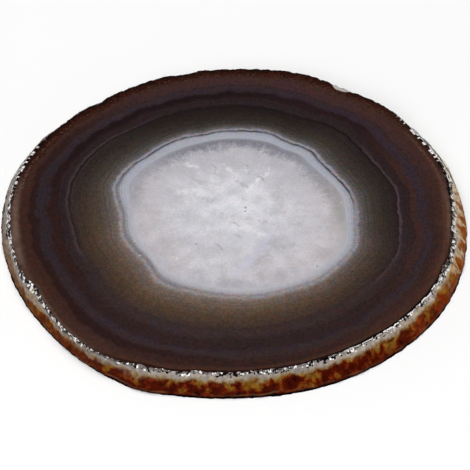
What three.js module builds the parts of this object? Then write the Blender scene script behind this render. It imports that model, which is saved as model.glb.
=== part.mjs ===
// A coaster sawn from an agate nodule: one slab of stone with two flat faces and a natural rim.
// Millimetres, +Z up. The slab lies on its larger face, and the origin is under its middle.

import * as THREE from 'three';
import { ImprovedNoise } from 'three/addons/math/ImprovedNoise.js';
import { mergeVertices } from 'three/addons/utils/BufferGeometryUtils.js';

// The slab
const THICKNESS = 5.0;
const AROUND = 400; // facets round the rim

// The outline of the polished face, as [direction in degrees, distance from the stone's pole].
// Direction 0 is +X and 90 is +Y, the back.
const FACE_OUTLINE = [
  [0, 47.4], [15, 48.0], [30, 47.7], [42, 48.1], [56, 47.4], [72, 47.9], [88, 46.7], [104, 46.6],
  [130, 46.5], [148, 47.4], [168, 48.4], [185, 48.0], [200, 48.2], [212, 47.6], [228, 49.0],
  [240, 49.2], [252, 47.9], [266, 46.5], [285, 46.3], [312, 46.9], [336, 47.8], [350, 47.7],
];

// The outline of the underside. The nodule widened downwards here, so the rim flares out to it,
// most at the right and front and least at the left front.
const BASE_OUTLINE = [
  [0, 50.8], [13, 51.0], [26, 51.8], [38, 51.5], [50, 50.5], [65, 49.7], [90, 49.5], [120, 49.5],
  [145, 50.6], [162, 51.2], [180, 50.3], [195, 49.6], [218, 49.3], [236, 50.1], [248, 50.7],
  [257, 49.8], [272, 49.2], [290, 49.6], [312, 50.1], [333, 50.8],
];

// Shells of stone broken out of the polished face's edge: where, how wide and how deep
const CHIPS = [
  { at: 8, wide: 4, deep: 0.35 },
  { at: 31, wide: 7, deep: 0.45 },
  { at: 58, wide: 7, deep: 1.0 },
  { at: 104, wide: 7, deep: 0.6 },
  { at: 131, wide: 4, deep: 0.5 },
  { at: 209, wide: 6, deep: 0.8 },
  { at: 247, wide: 4, deep: 0.5 },
  { at: 261, wide: 3, deep: 0.5 },
  { at: 339, wide: 5, deep: 0.4 },
  { at: 353, wide: 4, deep: 0.45 },
];
const CHIP_REACH = 1.6; // how far down the rim a chip runs

// The rim's section: heights of its rings of vertices, from the underside to the polished face
const RING_HEIGHTS = [0, 0.35, 1.0, 1.75, 2.55, 3.3, 3.95, 4.55, THICKNESS];
const RIM_CURVE = 1.5; // over 1 makes the rim stand steeper at its foot and lean in at its top

// The rind's relief
const LUMP_PITCH = 4.5;
const LUMP_HEIGHT = 0.7;
const PIT_PITCH = 1.7;
const PIT_DEPTH = 0.5;
const SERRATION_PITCH = 1.1;
const SERRATION_DEPTH = 0.6;
const SERRATION_REACH = 0.8; // how far down the rim the teeth run

const noise = new ImprovedNoise();

// The outline's distance from the pole in one direction, on a smooth closed curve through its points.
function smoothOutline(outline) {
  const before = outline.slice(-2).map(([angle, radius]) => [angle - 360, radius]);
  const after = outline.slice(0, 3).map(([angle, radius]) => [angle + 360, radius]);
  const all = [...before, ...outline, ...after];
  const angles = all.map((point) => point[0]);
  const radii = all.map((point) => point[1]);
  const curve = new THREE.CubicInterpolant(angles, radii, 1);
  return (angle) => curve.evaluate(angle)[0];
}

const faceRadius = smoothOutline(FACE_OUTLINE);
const baseRadius = smoothOutline(BASE_OUTLINE);

// How deep the chips bite at one direction, full at the polished face and nothing below their reach.
function chipDepth(angle, height) {
  const below = THICKNESS - height;
  const share = Math.max(0, 1 - below / CHIP_REACH);
  let deepest = 0;
  for (const { at, wide, deep } of CHIPS) {
    const turn = Math.abs(THREE.MathUtils.euclideanModulo(angle - at + 180, 360) - 180);
    const reach = Math.max(0, 1 - (turn / (wide / 2)) ** 2);
    deepest = Math.max(deepest, deep * Math.sqrt(reach));
  }
  return deepest * share;
}

// Lumps and pits of the rind at a point of the rim, in millimetres outwards.
function rindRelief(x, y, height) {
  const lump = noise.noise(x / LUMP_PITCH, y / LUMP_PITCH, height / LUMP_PITCH);
  const pit = noise.noise(x / PIT_PITCH + 40, y / PIT_PITCH, height / PIT_PITCH);
  return LUMP_HEIGHT * lump - PIT_DEPTH * Math.max(0, pit);
}

// Teeth left by the saw and the polishing wheel along the face's edge, in millimetres inwards.
function serration(x, y, height) {
  const nearEdge = Math.max(0, 1 - (THICKNESS - height) / SERRATION_REACH);
  const tooth = Math.abs(noise.noise(x / SERRATION_PITCH, y / SERRATION_PITCH, 7.3));
  return SERRATION_DEPTH * tooth * nearEdge;
}

// The rim's distance from the pole in one direction and at one height.
function rimRadius(angle, height) {
  const rise = height / THICKNESS;
  const lean = rise ** RIM_CURVE;
  const plain = THREE.MathUtils.lerp(baseRadius(angle), faceRadius(angle), lean);
  const turn = THREE.MathUtils.degToRad(angle);
  const x = plain * Math.cos(turn);
  const y = plain * Math.sin(turn);
  const fullness = Math.sqrt(Math.sin(Math.PI * rise)); // the relief dies out at both sawn edges
  return plain + rindRelief(x, y, height) * fullness
    - serration(x, y, height) - chipDepth(angle, height);
}

// A plain disc turned round the axis, then each vertex of its rim moved out to the stone's outline.
function sliceGeometry() {
  const section = [
    new THREE.Vector2(0, 0),
    ...RING_HEIGHTS.map((height) => new THREE.Vector2(1, height)),
    new THREE.Vector2(0, THICKNESS),
  ];
  const disc = new THREE.LatheGeometry(section, AROUND);
  disc.deleteAttribute('normal');
  disc.deleteAttribute('uv');
  const geometry = mergeVertices(disc, 1e-5);
  const position = geometry.getAttribute('position');
  for (let i = 0; i < position.count; i += 1) {
    const x = position.getX(i);
    const y = -position.getZ(i); // the lathe's axis is Y, and the slab's is Z
    const height = position.getY(i);
    const onRim = Math.hypot(x, y) > 0.5;
    const turn = Math.atan2(y, x);
    const angle = THREE.MathUtils.euclideanModulo(THREE.MathUtils.radToDeg(turn), 360);
    const radius = onRim ? rimRadius(angle, height) : 0;
    position.setXYZ(i, radius * Math.cos(turn), radius * Math.sin(turn), height);
  }
  geometry.computeBoundingBox();
  const middle = geometry.boundingBox.getCenter(new THREE.Vector3());
  geometry.translate(-middle.x, -middle.y, 0);
  geometry.computeVertexNormals();
  return geometry;
}

function makeSlice() {
  const stone = new THREE.MeshStandardMaterial({ color: 0x3a2a27, roughness: 0.25, metalness: 0 });
  const slice = new THREE.Mesh(sliceGeometry(), stone);
  slice.name = 'agate_slice';
  return slice;
}

const coaster = new THREE.Group();
coaster.add(makeSlice());

export default coaster;
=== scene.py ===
# %% [markdown]
# # An agate coaster
# An agate grew as a nodule in a bubble of old lava. Silica settled on the bubble's wall layer by
# layer, each a slightly different brown, and what was left of the hollow filled with quartz crystals.
# A saw then cut a slab across the nodule, and a wheel polished one face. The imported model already
# has the slab's size and outline. This lesson adds what the eye meets: the layers and the crystals
# in the polished face, and the chipped edge and rusty rind round it.

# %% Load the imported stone
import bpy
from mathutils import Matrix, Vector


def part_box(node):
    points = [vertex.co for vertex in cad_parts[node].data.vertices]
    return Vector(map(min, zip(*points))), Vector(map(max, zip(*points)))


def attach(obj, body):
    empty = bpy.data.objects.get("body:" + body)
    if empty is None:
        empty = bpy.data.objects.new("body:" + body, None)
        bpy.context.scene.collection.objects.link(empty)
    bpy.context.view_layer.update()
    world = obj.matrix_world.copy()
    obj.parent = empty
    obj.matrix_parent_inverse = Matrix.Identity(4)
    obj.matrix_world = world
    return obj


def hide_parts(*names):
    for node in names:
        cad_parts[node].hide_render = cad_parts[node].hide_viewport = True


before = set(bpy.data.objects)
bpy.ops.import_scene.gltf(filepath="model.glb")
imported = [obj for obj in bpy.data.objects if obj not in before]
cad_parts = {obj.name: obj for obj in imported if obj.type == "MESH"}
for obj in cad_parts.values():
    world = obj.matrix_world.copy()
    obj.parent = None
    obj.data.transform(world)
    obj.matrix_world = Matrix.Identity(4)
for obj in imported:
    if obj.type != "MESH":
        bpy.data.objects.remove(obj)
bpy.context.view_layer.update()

packed_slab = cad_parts["agate_slice"]
print("the packed slab has", len(packed_slab.data.polygons), "faces")

# %% [markdown]
# Blender counts in metres, and a stone like this is easier to think of in millimetres. So every size
# below is in millimetres, and is multiplied by MM where Blender wants it.

# %% Measure the slab
import math

import bpy
import numpy as np
from mathutils import Color, Vector, noise
from mathutils.bvhtree import BVHTree

MM = 0.001
slab_low, slab_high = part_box("agate_slice")
thickness = slab_high.z / MM
print("slab, mm:", [round(side / MM, 1) for side in slab_high - slab_low])

# %% [markdown]
# The camera stands where the photographer stood: 47 cm away, looking down at 45 degrees. At that
# distance the picture is 101 mm wide, and the lens follows from the two. The aim is a little in
# front of the slab's middle, because the picture shows the slab a little above its own middle.

# %% Place the camera
CAMERA_AIM = (0.29, -5.13, 2.5)
CAMERA_DISTANCE = 470
CAMERA_HEIGHT_ANGLE = math.radians(45)
PICTURE_WIDTH = 101.1


def place_camera():
    lens_data = bpy.data.cameras.new("photo_camera")
    lens_data.lens = lens_data.sensor_width * CAMERA_DISTANCE / PICTURE_WIDTH
    camera = bpy.data.objects.new("photo_camera", lens_data)
    towards = Vector((0, -math.cos(CAMERA_HEIGHT_ANGLE), math.sin(CAMERA_HEIGHT_ANGLE)))
    camera.location = (Vector(CAMERA_AIM) + towards * CAMERA_DISTANCE) * MM
    camera.rotation_euler.x = math.radians(90) - CAMERA_HEIGHT_ANGLE
    bpy.context.collection.objects.link(camera)
    bpy.context.scene.camera = camera
    return camera


camera = place_camera()
print("lens:", round(camera.data.lens, 1), "mm")

# %% [markdown]
# The layers of an agate all follow the wall of the hollow that they grew in, so they are told best
# as rings round one point, the pole, deep in the crystals. A ring is a short list of (direction in
# degrees, distance from the pole). Direction 0 points right, and 90 points to the back. The ring is
# read in 1440 directions, one for each quarter of a degree, and its corners are rounded by averaging
# each direction with its neighbours.

# %% Read a ring in every direction
POLE = (-0.21, -0.13)  # from the slab's middle
SECTORS = 1440

directions = np.arange(SECTORS) * 360 / SECTORS
turns = np.radians(directions)


def rounded(values, degrees):
    """Averages a ring of values over its neighbours, the near ones most."""
    reach = int(degrees / 360 * SECTORS)
    weights = np.hanning(2 * reach + 3)
    wrapped = np.concatenate([values[-reach - 1:], values, values[:reach + 1]])
    return np.convolve(wrapped, weights / weights.sum(), mode="valid")


def ring(outline, rounding=4.0):
    """The distance from the pole in each direction, through the outline's points."""
    at, distance = zip(*outline)
    return rounded(np.interp(directions, at, distance, period=360), rounding)


print("directions:", SECTORS)

# %% [markdown]
# Four rings hold the whole pattern. The first crystals stand on the veil, a pale blue line. Outside
# it runs a thin dark line, the last layer of chalcedony, which is wavy and is the sharpest line in
# the stone. The seam is a hair-thin pink line in the middle of the brown, and the violet band lies
# about halfway from there to the edge.

# %% The rings of the pattern
VEIL = [
    (0, 24.2), (10, 24.2), (20, 23.4), (30, 22.5), (40, 22.3), (50, 23.1), (60, 22.5), (70, 23.1),
    (90, 22.9), (110, 22.6), (130, 22.9), (150, 23.6), (160, 24.0), (170, 22.6), (180, 21.5),
    (200, 21.8), (215, 21.6), (230, 22.8), (260, 23.0), (280, 23.8), (300, 24.5), (320, 25.6),
    (335, 26.0), (345, 25.2),
]
DARK_LINE = [
    (0, 26.4), (10, 26.1), (18, 25.4), (26, 24.75), (33, 24.5), (40, 24.75), (46, 25.5),
    (53, 25.5), (58, 24.9), (64, 25.1), (71, 26.1), (76, 26.0), (83, 25.6), (98, 25.4),
    (105, 24.9), (112, 25.5), (120, 25.7), (139, 25.4), (145, 26.1), (155, 26.4), (165, 26.4),
    (172, 25.0), (180, 23.7), (187, 23.5), (196, 24.1), (206, 23.9), (220, 23.4), (226, 24.2),
    (233, 25.7), (241, 25.8), (250, 25.2), (262, 25.0), (275, 25.6), (296, 26.1), (310, 27.2),
    (325, 27.5), (337, 28.0), (343, 27.4), (350, 26.5),
]
SEAM = [
    (0, 35.8), (10, 36.3), (20, 35.2), (30, 34.7), (40, 35.3), (50, 35.5), (65, 34.0), (80, 34.5),
    (100, 34.5), (120, 34.6), (130, 34.8), (140, 35.7), (150, 36.2), (165, 36.7), (180, 35.9),
    (190, 34.6), (200, 34.8), (210, 34.2), (220, 35.2), (232, 36.4), (250, 36.0), (270, 35.4),
    (285, 35.3), (300, 35.8), (320, 36.4), (340, 37.4), (350, 36.5),
]
# How far the violet band is on the way from the seam to the edge, which is 1
VIOLET_WAY = [
    (0, 0.45), (20, 0.44), (90, 0.42), (180, 0.43), (210, 0.48), (245, 0.48), (270, 0.57),
    (285, 0.62), (300, 0.55), (345, 0.54),
]

veil = ring(VEIL)
dark_line = ring(DARK_LINE, rounding=2.5)
seam = ring(SEAM)
violet_way = ring(VIOLET_WAY, rounding=15)
print("core, mm across:", round(float(2 * dark_line.mean()), 1))

# %% [markdown]
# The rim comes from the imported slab, so the two can't drift apart. From the pole's axis a ray goes
# out in each direction, at 28 heights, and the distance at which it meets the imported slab's wall is
# the rim there. A BVH tree is Blender's quick way of asking where a ray meets a mesh. On the real
# stone the polished edge lies up to half a millimetre further out, most at the right back, so the top
# rows are moved. The foot is drawn in a little at the right back, and the rim is smoother there and at
# the left, so its lumps are averaged away. One pale chip stands out of the edge at the back.

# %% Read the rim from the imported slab
RIM_ROWS = 28
INSIDE_FACE = 0.02  # the top and bottom rays run this far inside the slab's flat faces
EDGE_SHIFT = [  # direction, and how far the polished edge is moved out
    (0, 0.1), (10, 0.4), (20, 0.5), (30, 0.4), (48, 0.35), (62, 0.0), (78, 0.0), (90, 0.2),
    (100, 0.3), (120, 0.15), (148, 0.2), (155, 0.4), (165, 0.2), (190, 0.0), (230, 0.15),
    (262, 0.25), (290, 0.3), (302, 0.2), (325, 0.2), (338, 0.2), (350, 0.1),
]
EDGE_SHIFT_REACH = 1.5  # how far below the face the move dies out
FOOT_SHIFT = [(14, 0.0), (26, -0.15), (38, -0.4), (46, -0.3), (56, 0.0)]  # the same, for the foot
SMOOTH_SIDES = [  # direction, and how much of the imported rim's lumps is smoothed away there
    (0, 0.5), (12, 1.0), (45, 1.0), (53, 0.0), (150, 0.0), (160, 1.0), (182, 1.0), (192, 0.0),
    (345, 0.0),
]
SMOOTHING = 7.0  # degrees
CHIP_AT = 58.3  # a chip of pale stone that stands out of the back edge: its direction
CHIP_HALF_WIDTH = 3.5
CHIP_SIZE = 0.9

row_heights = np.linspace(thickness, 0, RIM_ROWS)


def rim_from_slab():
    corners = [vertex.co for vertex in packed_slab.data.vertices]
    tree = BVHTree.FromPolygons(corners, [tuple(face.vertices) for face in packed_slab.data.polygons])
    rim = np.empty((RIM_ROWS, SECTORS))
    for row, height in enumerate(np.clip(row_heights, INSIDE_FACE, thickness - INSIDE_FACE)):
        start = Vector((*POLE, height)) * MM
        for sector, turn in enumerate(turns):
            rim[row, sector] = tree.ray_cast(start, (math.cos(turn), math.sin(turn), 0))[3]
    return rim / MM


def smooth_some_sides(rim):
    smooth = np.array([rounded(row, SMOOTHING) for row in rim])
    share = ring(SMOOTH_SIDES, rounding=8)
    return rim * (1 - share) + smooth * share


fading = np.clip(1 - (thickness - row_heights) / EDGE_SHIFT_REACH, 0, 1)
chip = CHIP_SIZE * np.clip(1 - ((directions - CHIP_AT) / CHIP_HALF_WIDTH) ** 2, 0, 1)
edge_move = ring(EDGE_SHIFT, rounding=6) + chip
foot_move = ring(FOOT_SHIFT, rounding=8)
plain_rim = smooth_some_sides(rim_from_slab())
plain_rim += fading[:, None] * edge_move + (1 - fading[:, None]) * foot_move
print("face radius, mm:", round(plain_rim[0].min(), 1), "to", round(plain_rim[0].max(), 1))

# %% [markdown]
# A packed slab needs few faces, and a real rim is rough down to a tenth of a millimetre. Three kinds
# of roughness are added. The whole rind has soft lumps and shallow grooves. Its upper part is also
# broken crystal, made of little tilted facets: each point asks for the nearest of a set of scattered
# seeds, and moves by that seed's own slope. Along the polished edge the saw pulled out small flakes.

# %% Roughen the rim
LUMPS = ((1.7, 0.16), (0.8, 0.09), (0.35, 0.04))  # pitch and height
GROOVE_PITCH = 0.9
GROOVE_DEPTH = 0.05
GROOVE_STRETCH = 0.15  # how much a height counts, so that the grooves run down the rim
FACET_PITCH = 0.6
FACET_SLOPE = 0.22
SEED_SPREAD = 5.7  # takes neighbouring seeds to places in the noise that are far apart
CRYSTAL_REACH = 1.6  # how far below the face the broken crystal runs
FLAKE_PITCH = 0.62
SMALL_FLAKES = 0.35  # how strong they are, at a third of the pitch
FLAKE_DEPTH = 0.24
FLAKE_REACH = 0.9
FLAKE_DIP = 0.12  # how far a flake cuts down into the polished face, in front


def facet(point, pitch):
    """How far a broken surface stands out at a point: flat facets, each with a slope of its own."""
    spot = point / pitch
    seed = noise.voronoi(spot)[1][0]
    slope = noise.noise_vector(seed * SEED_SPREAD)
    return (spot - seed).dot(slope) * pitch


def flake(point):
    """How much of a flake is missing at a point of the polished edge, from 0 to 1."""
    small = noise.noise(point / (FLAKE_PITCH / 3))
    return max(0.0, noise.noise(point / FLAKE_PITCH) + SMALL_FLAKES * small)


def roughness_at(point, edge_point, drop):
    """The rim's relief in millimetres, outwards."""
    relief = sum(height * noise.noise(point / pitch) for pitch, height in LUMPS)
    upright = Vector((point.x, point.y, point.z * GROOVE_STRETCH))
    relief -= GROOVE_DEPTH * abs(noise.noise(upright / GROOVE_PITCH))
    crystal = max(0.0, 1 - drop / CRYSTAL_REACH)
    relief += FACET_SLOPE * crystal * facet(point, FACET_PITCH)
    relief -= FLAKE_DEPTH * flake(edge_point) * max(0.0, 1 - drop / FLAKE_REACH)
    return relief


def roughen(rim):
    rough = rim.copy()
    dips = np.empty(SECTORS)
    for sector, turn in enumerate(turns):
        outwards = Vector((math.cos(turn), math.sin(turn), 0))
        edge_point = outwards * rim[0, sector]
        frontness = (1 - outwards.y) / 2
        dips[sector] = FLAKE_DIP * frontness * flake(edge_point)
        for row, height in enumerate(row_heights):
            point = outwards * rim[row, sector] + Vector((0, 0, height))
            rough[row, sector] += roughness_at(point, edge_point, thickness - height)
    return rough, dips


rim, edge_dips = roughen(plain_rim)
print("roughness, mm:", round(float(np.abs(rim - plain_rim).mean()), 3))

# %% [markdown]
# All surfaces of the slab are one closed skin, made like a potter's turned form: rings of points
# from the pole of the polished face out to its edge, down the rim, and back under the slab to the
# pole of the underside. Each ring on a flat face is a layer of the agate. Its number is its growth:
# 0 at the pole, 1 at the veil, 2 at the dark line, 3 at the seam, 3.45 at the violet band and 4 at
# the edge.

# %% Work out the rings of points
FACE_GROWTHS = [
    0.2, 0.4, 0.6, 0.8, 1.0, 1.3, 1.6, 1.85, 2.0, 2.15, 2.4, 2.7, 3.0, 3.2, 3.45, 3.6, 3.75, 3.9,
]
BASE_GROWTHS = [3.9, 3.45, 3.0, 2.4, 2.0, 1.0, 0.5]
VIOLET_GROWTH = 3.45
EDGE_GROWTH = 4.0
EDGE_STRIP = 0.35  # the last ring of the face lies this far inside its ragged edge
EDGE_ROUNDING = 4.0

face_edge = rounded(plain_rim[0], EDGE_ROUNDING)
base_edge = rounded(plain_rim[-1], EDGE_ROUNDING)


def violet_band(edge):
    """The violet band's distance from the pole, where the stone ends at edge."""
    return seam + violet_way * (edge - seam)


def layer_radius(growth, edge):
    """The distance from the pole of the layer with this growth, from the known ones next to it."""
    known = [
        (0.0, 0 * seam), (1.0, veil), (2.0, dark_line), (3.0, seam), (VIOLET_GROWTH, violet_band(edge)),
        (EDGE_GROWTH, edge),
    ]
    for (low, inner), (high, outer) in zip(known, known[1:]):
        if growth <= high:
            share = (growth - low) / (high - low)
            return inner * (1 - share) + outer * share


def outer_growth(radius, edge):
    """The growth at this distance from the pole, outside the violet band."""
    violet = violet_band(edge)
    return VIOLET_GROWTH + (EDGE_GROWTH - VIOLET_GROWTH) * (radius - violet) / (edge - violet)


def slab_rings():
    """One (radius, height, growth) for each ring, from the face's pole to the underside's."""
    top = np.full(SECTORS, thickness)
    full = np.ones(SECTORS)
    face = [(layer_radius(g, face_edge), top, g * full) for g in FACE_GROWTHS]
    strip = rim[0] - EDGE_STRIP
    face.append((strip, top, outer_growth(strip, face_edge)))
    face.append((rim[0], top - edge_dips, outer_growth(rim[0], face_edge)))
    side = [(rim[row], row_heights[row] * full, EDGE_GROWTH * full) for row in range(1, RIM_ROWS)]
    base = [(layer_radius(g, base_edge), 0 * full, g * full) for g in BASE_GROWTHS]
    return face, side, base


face_rings, side_rings, base_rings = slab_rings()
rings = face_rings + side_rings + base_rings
print("rings, face, rim and base:", [len(part) for part in (face_rings, side_rings, base_rings)])

# %% [markdown]
# Two points at the poles and the rings between them become one mesh. Every two rings are joined by
# four-sided faces, and each pole by a fan. The face, the rim and the underside get a material slot
# each. Growth is stored on every point as an attribute, which the material reads later: that is how
# a shader can know which layer of the stone it is painting.

# %% Make the slab's mesh
FACE_SLOT, RIM_SLOT, BASE_SLOT = 0, 1, 2


def slab_points():
    xs = [POLE[0] + radius * np.cos(turns) for radius, _, _ in rings]
    ys = [POLE[1] + radius * np.sin(turns) for radius, _, _ in rings]
    zs = [height for _, height, _ in rings]
    points = np.stack([np.concatenate(column) for column in (xs, ys, zs)], axis=1)
    poles = [(*POLE, thickness), (*POLE, 0.0)]
    return np.concatenate([points, poles]) * MM


def slab_faces():
    """The faces, and the material slot of each."""
    here = np.arange(SECTORS)
    following = (here + 1) % SECTORS
    top_pole = len(rings) * SECTORS
    faces = [(top_pole, a, b) for a, b in zip(here, following)]
    slots = [FACE_SLOT] * SECTORS
    for number in range(len(rings) - 1):
        near, far = number * SECTORS, (number + 1) * SECTORS
        faces += zip(near + here, far + here, far + following, near + following)
    slots += [FACE_SLOT] * SECTORS * (len(face_rings) - 1)
    slots += [RIM_SLOT] * SECTORS * len(side_rings)
    slots += [BASE_SLOT] * SECTORS * (len(base_rings) + 1)
    last = (len(rings) - 1) * SECTORS
    faces += [(top_pole + 1, b, a) for a, b in zip(last + here, last + following)]
    return faces, slots


def make_slab():
    faces, slots = slab_faces()
    mesh = bpy.data.meshes.new("agate_slab")
    mesh.from_pydata(slab_points().tolist(), [], [tuple(int(i) for i in face) for face in faces])
    mesh.polygons.foreach_set("material_index", slots)
    mesh.polygons.foreach_set("use_smooth", [slot == RIM_SLOT for slot in slots])
    growths = np.concatenate([growth for _, _, growth in rings] + [np.zeros(2)])
    mesh.attributes.new("growth", "FLOAT", "POINT").data.foreach_set("value", growths)
    slab = bpy.data.objects.new("agate_slab", mesh)
    bpy.context.collection.objects.link(slab)
    return slab


slab = make_slab()
print("slab:", len(slab.data.vertices), "points,", len(slab.data.polygons), "faces")

# %% [markdown]
# A game or a web page can't run this stone's shaders, so they have to be painted on a square picture,
# and a UV map says which part of the square each face gets. Here the polished face gets the largest
# part, the rim lies above it as four long strips, and the underside gets what is left.

# %% Lay the skin out flat
PATCHES = {  # left, bottom and size in the square, and -1 for the side that is seen from below
    FACE_SLOT: (0.005, 0.005, 0.69, 1), BASE_SLOT: (0.70, 0.005, 0.295, -1),
}
STRIPS = 4
STRIP_BOTTOM = 0.705
STRIP_PITCH = 0.074
STRIP_HEIGHT = 0.068
MARGIN = 0.004
PATCH_SPAN = 104.0  # millimetres of stone across a patch


def patch_corner(point, left, bottom, size, side):
    across = 0.5 + side * point.x / MM / PATCH_SPAN
    up = 0.5 + point.y / MM / PATCH_SPAN
    return left + size * across, bottom + size * up


def strip_corner(vertex, first_sector):
    """Where a point of the rim lies in its strip, for a face that starts at first_sector."""
    ring_number, sector = divmod(vertex, SECTORS)
    strip, start = divmod(first_sector, SECTORS // STRIPS)
    along = (start + (sector - first_sector) % SECTORS) / (SECTORS // STRIPS)
    down = (ring_number - len(face_rings) + 1) / (RIM_ROWS - 1)
    bottom = STRIP_BOTTOM + strip * STRIP_PITCH
    return MARGIN + (1 - 2 * MARGIN) * along, bottom + STRIP_HEIGHT * (1 - down)


def lay_out(mesh):
    layout = mesh.uv_layers.new(name="OFBake")
    for face in mesh.polygons:
        slot = face.material_index
        first_sector = mesh.loops[face.loop_start].vertex_index % SECTORS
        for loop in face.loop_indices:
            vertex = mesh.loops[loop].vertex_index
            if slot == RIM_SLOT:
                layout.data[loop].uv = strip_corner(vertex, first_sector)
            else:
                layout.data[loop].uv = patch_corner(mesh.vertices[vertex].co, *PATCHES[slot])


lay_out(slab.data)
print("UV map:", slab.data.uv_layers[0].name)

# %% [markdown]
# A material is a tree of nodes. Written out one by one, the nodes of a natural stone fill pages, so
# a small class gives each kind of node that is needed here a short name. Its methods add a node or
# two and return what comes out, and a number, a colour or another node's output can go in. The one
# used most is over: it lays a coat of one colour over another, as thick as its shares say.

# %% A short way to write materials
def paint(code):
    """A web colour as the linear colour that a node socket holds."""
    shares = [int(code[start:start + 2], 16) / 255 for start in (1, 3, 5)]
    return (*Color(shares).from_srgb_to_scene_linear(), 1.0)


class Recipe:
    """A material under construction. Positions in it are in millimetres from the pole."""

    def __init__(self, name):
        self.material = bpy.data.materials.new(name)
        self.material.use_nodes = True
        self.tree = self.material.node_tree
        self.shader = self.tree.nodes["Principled BSDF"]
        metres = self.node("TexCoord").outputs["Object"]
        from_pole = self.vector("SUBTRACT", metres, (POLE[0] * MM, POLE[1] * MM, 0))
        self.place = self.scaled(from_pole, 1 / MM)
        self.height = self.node("SeparateXYZ", {0: self.place}).outputs["Z"]
        self.outwards = self.vector("NORMALIZE", self.flat(self.place))

    def node(self, kind, inputs=None, **settings):
        made = self.tree.nodes.new("ShaderNode" + kind)
        for name, value in settings.items():
            setattr(made, name, value)
        for socket, value in (inputs or {}).items():
            self.feed(made.inputs[socket], value)
        return made

    def feed(self, socket, value):
        if isinstance(value, bpy.types.NodeSocket):
            self.tree.links.new(value, socket)
        elif isinstance(value, str):
            socket.default_value = paint(value)
        else:
            socket.default_value = value

    def vector(self, operation, first, second=(0, 0, 0)):
        made = self.node("VectorMath", {0: first, 1: second}, operation=operation)
        return made.outputs["Value" if operation in ("LENGTH", "DOT_PRODUCT") else "Vector"]

    def scaled(self, vector, scale):
        return self.node("VectorMath", {0: vector, "Scale": scale}, operation="SCALE").outputs[0]

    def flat(self, vector):
        return self.vector("MULTIPLY", vector, (1, 1, 0))

    def upright(self, length):
        return self.node("CombineXYZ", {"Z": length}).outputs[0]

    def math(self, operation, first, *others):
        """One sum, or a chain of them such as first + second + third."""
        result = first
        for other in others:
            result = self.node("Math", {0: result, 1: other}, operation=operation).outputs[0]
        return result

    def plus(self, *values):
        return self.math("ADD", *values)

    def times(self, *values):
        return self.math("MULTIPLY", *values)

    def rise(self, value, low, high, start=0.0, end=1.0):
        """Goes smoothly from start to end while the value goes from low to high."""
        sockets = {"Value": value, "From Min": low, "From Max": high, "To Min": start, "To Max": end}
        return self.node("MapRange", sockets, interpolation_type="SMOOTHSTEP").outputs[0]

    def blend(self, share, first, second):
        sockets = {0: share, 6: first, 7: second}
        return self.node("Mix", sockets, data_type="RGBA").outputs[2]

    def over(self, colour, coat, *shares):
        """The colour with a coat laid over it, as thick as the product of the shares."""
        return self.blend(self.times(*shares), colour, coat)

    def toned(self, colour, factor):
        """The colour times one factor, or times one each for red, green and blue."""
        return self.vector("MULTIPLY", colour, factor)

    def cloud(self, size, detail=3.0, where=None, seed=0.0):
        """Fractal noise from 0 to 1, with blotches about size millimetres across."""
        sockets = {"Vector": where or self.place, "Scale": 1 / size, "Detail": detail, "W": seed}
        return self.node("TexNoise", sockets, noise_dimensions="4D").outputs[0]

    def patchy(self, size, low, high, start=0.0, end=1.0, **more):
        """Goes smoothly from start to end where the cloud goes from low to high."""
        return self.rise(self.cloud(size, **more), low, high, start, end)

    def cells(self, where, seed):
        """A random number from 0 to 1 for each cell, and the cells are about 1 across."""
        sockets = {"Vector": where, "Scale": 1, "W": seed}
        made = self.node("TexVoronoi", sockets, voronoi_dimensions="4D")
        return self.node("SeparateColor", {0: made.outputs["Color"]}).outputs[0]

    def shaken(self, size, amount, seed):
        """The place, moved about by noise, so that straight things drawn there come out crooked."""
        sockets = {"Vector": self.place, "Scale": 1 / size, "Detail": 2.0, "W": seed}
        shift = self.node("TexNoise", sockets, noise_dimensions="4D").outputs["Color"]
        round_zero = self.vector("SUBTRACT", shift, (0.5, 0.5, 0.5))
        return self.vector("ADD", self.place, self.scaled(round_zero, amount))

    def ramp(self, share, stops):
        """A colour for each share, from a list of (share, colour)."""
        made = self.node("ValToRGB", {0: share})
        elements = made.color_ramp.elements
        for number, (at, code) in enumerate(stops):
            element = elements[number] if number < 2 else elements.new(at)
            element.position = at
            element.color = paint(code)
        return made.outputs[0]

    def finished(self, colour, roughness, ior=1.5, shine=0.5):
        """Hands the shader the colour, the roughness and how strongly it mirrors."""
        values = {"Base Color": colour, "Roughness": roughness, "IOR": ior, "Specular IOR Level": shine}
        for socket, value in values.items():
            self.feed(self.shader.inputs[socket], value)
        return self.material


print("paint('#808080') is", [round(share, 3) for share in paint("#808080")])

# %% [markdown]
# The layers come first. A colour ramp turns growth into colour: quartz in the middle, then the pale
# veil, the dark line, a pale line outside it, brown that deepens towards the seam, the violet band,
# and red-brown towards the edge. Real layers waver a little, so some noise is added to the growth
# before the ramp reads it.

# %% Colour the layers
LAYERS = [
    (0.98, "#9a9ca5"), (1.12, "#a5a6b0"), (1.25, "#a7a9b4"), (1.50, "#a3a5b1"), (1.72, "#a0a1ac"),
    (1.80, "#999aa5"), (1.88, "#8d8d96"), (1.96, "#88878e"), (2.02, "#828086"), (2.05, "#84818a"),
    (2.08, "#797579"), (2.10, "#686369"), (2.14, "#5b5657"), (2.20, "#4f4a48"), (2.30, "#433e3a"),
    (2.47, "#38302b"), (2.70, "#2d2522"), (2.92, "#271d1e"), (3.02, "#2c2123"), (3.10, "#2b1f21"),
    (3.22, "#271719"), (3.30, "#251518"), (3.36, "#2b1d22"), (3.41, "#31262c"), (3.47, "#33262a"),
    (3.53, "#322325"), (3.60, "#32211e"), (3.68, "#38221f"), (3.78, "#3e2722"), (3.86, "#3f2720"),
    (3.93, "#40291f"), (4.00, "#38241d"),
]
EVERYWHERE = (-1.0, 0.0, 4.0, 5.0)
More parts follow.
